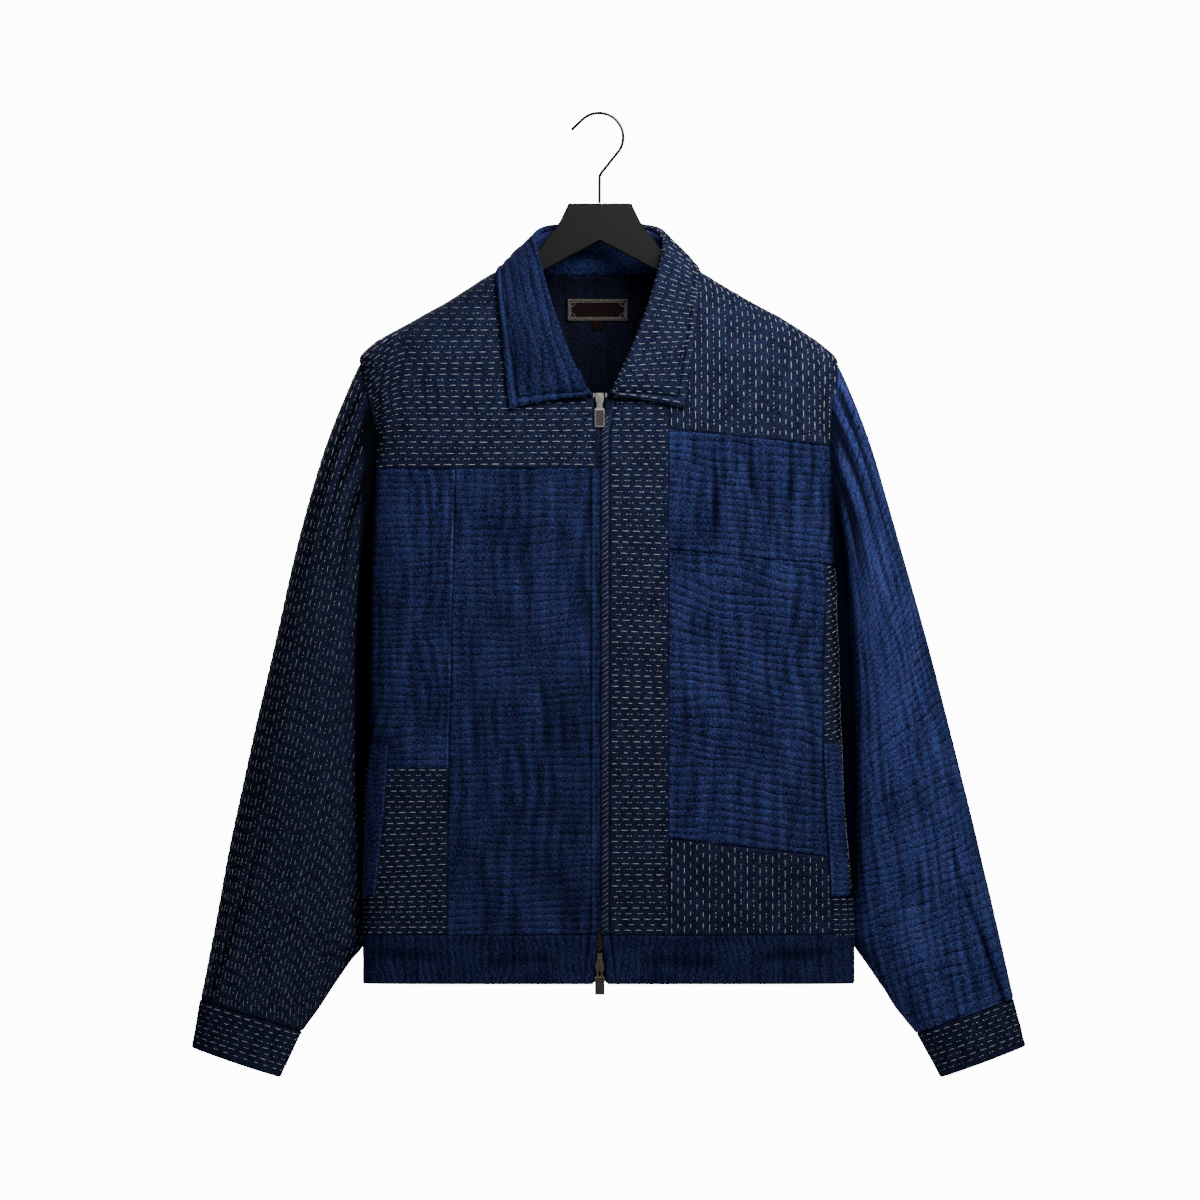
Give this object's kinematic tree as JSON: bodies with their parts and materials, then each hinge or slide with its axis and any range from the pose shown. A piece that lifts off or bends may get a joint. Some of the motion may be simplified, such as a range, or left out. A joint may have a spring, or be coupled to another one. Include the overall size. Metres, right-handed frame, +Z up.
{
  "type": "patched boro jacket on a hanger",
  "caption": "Short collared jacket pieced from crinkled and running-stitched cloth, zipped up the front, with a waistband and cuffs, hung on a flat hanger with a wire hook.",
  "frame": {"origin": "inside top of the hanger's hook, where it rests on a rail", "axes": "+Z up; the jacket's front faces -Y, the wearer's left is at +X"},
  "size_m": [0.7841, 0.1198, 0.9081],
  "materials": {
    "blue_gauze": "crinkled indigo cotton gauze",
    "stitched_navy": "dark indigo cotton with rows of off-white running stitches",
    "zip_tape": "woven navy tape",
    "label_cloth": null,
    "silver_metal": "satin nickel plate",
    "antique_brass": "dark antique plate",
    "hanger_board": "black satin lacquer",
    "hook_wire": "black wire"
  },
  "bodies": {
    "jacket": {"back": "blue_gauze", "collar_left": "stitched_navy", "collar_right": "blue_gauze", "collar_stand": "blue_gauze", "hanger_board": "hanger_board", "hanger_hook": "hook_wire", "left_centre_strip": "stitched_navy", "left_corner_patch": "stitched_navy", "left_cuff": "stitched_navy", "left_hem_patch": "stitched_navy", "left_lower_panel": "blue_gauze", "left_pocket_welt": "blue_gauze", "left_side_strip": "stitched_navy", "left_sleeve": "blue_gauze", "left_upper_panel": "blue_gauze", "left_yoke": "stitched_navy", "neck_label": "label_cloth", "right_centre_panel": "blue_gauze", "right_cuff": "stitched_navy", "right_pocket_patch": "stitched_navy", "right_pocket_welt": "blue_gauze", "right_side_panel": "blue_gauze", "right_sleeve": "stitched_navy", "right_yoke": "stitched_navy", "size_tab": "label_cloth", "slider_bottom": "antique_brass", "slider_top": "silver_metal", "waistband_back": "blue_gauze", "waistband_left_front": "blue_gauze", "waistband_right_front": "blue_gauze", "zip_stop_left": "silver_metal", "zip_stop_right": "silver_metal", "zip_tape_left": "zip_tape", "zip_tape_right": "zip_tape", "zip_teeth_left": "silver_metal", "zip_teeth_right": "silver_metal"},
    "pull_top": {"pull_top": "silver_metal"},
    "pull_bottom": {"pull_bottom": "antique_brass"}
  },
  "joints": [
    {"name": "top_pull_hinge", "type": "hinge", "parent": "jacket", "child": "pull_top", "pos_m": [-0.0003, -0.05271, -0.267], "axis": [-1, 0, 0], "range_deg": [0, 150]},
    {"name": "bottom_pull_hinge", "type": "hinge", "parent": "jacket", "child": "pull_bottom", "pos_m": [-0.0003, -0.05245, -0.7985], "axis": [-1, 0, 0], "range_deg": [0, 150]}
  ]
}
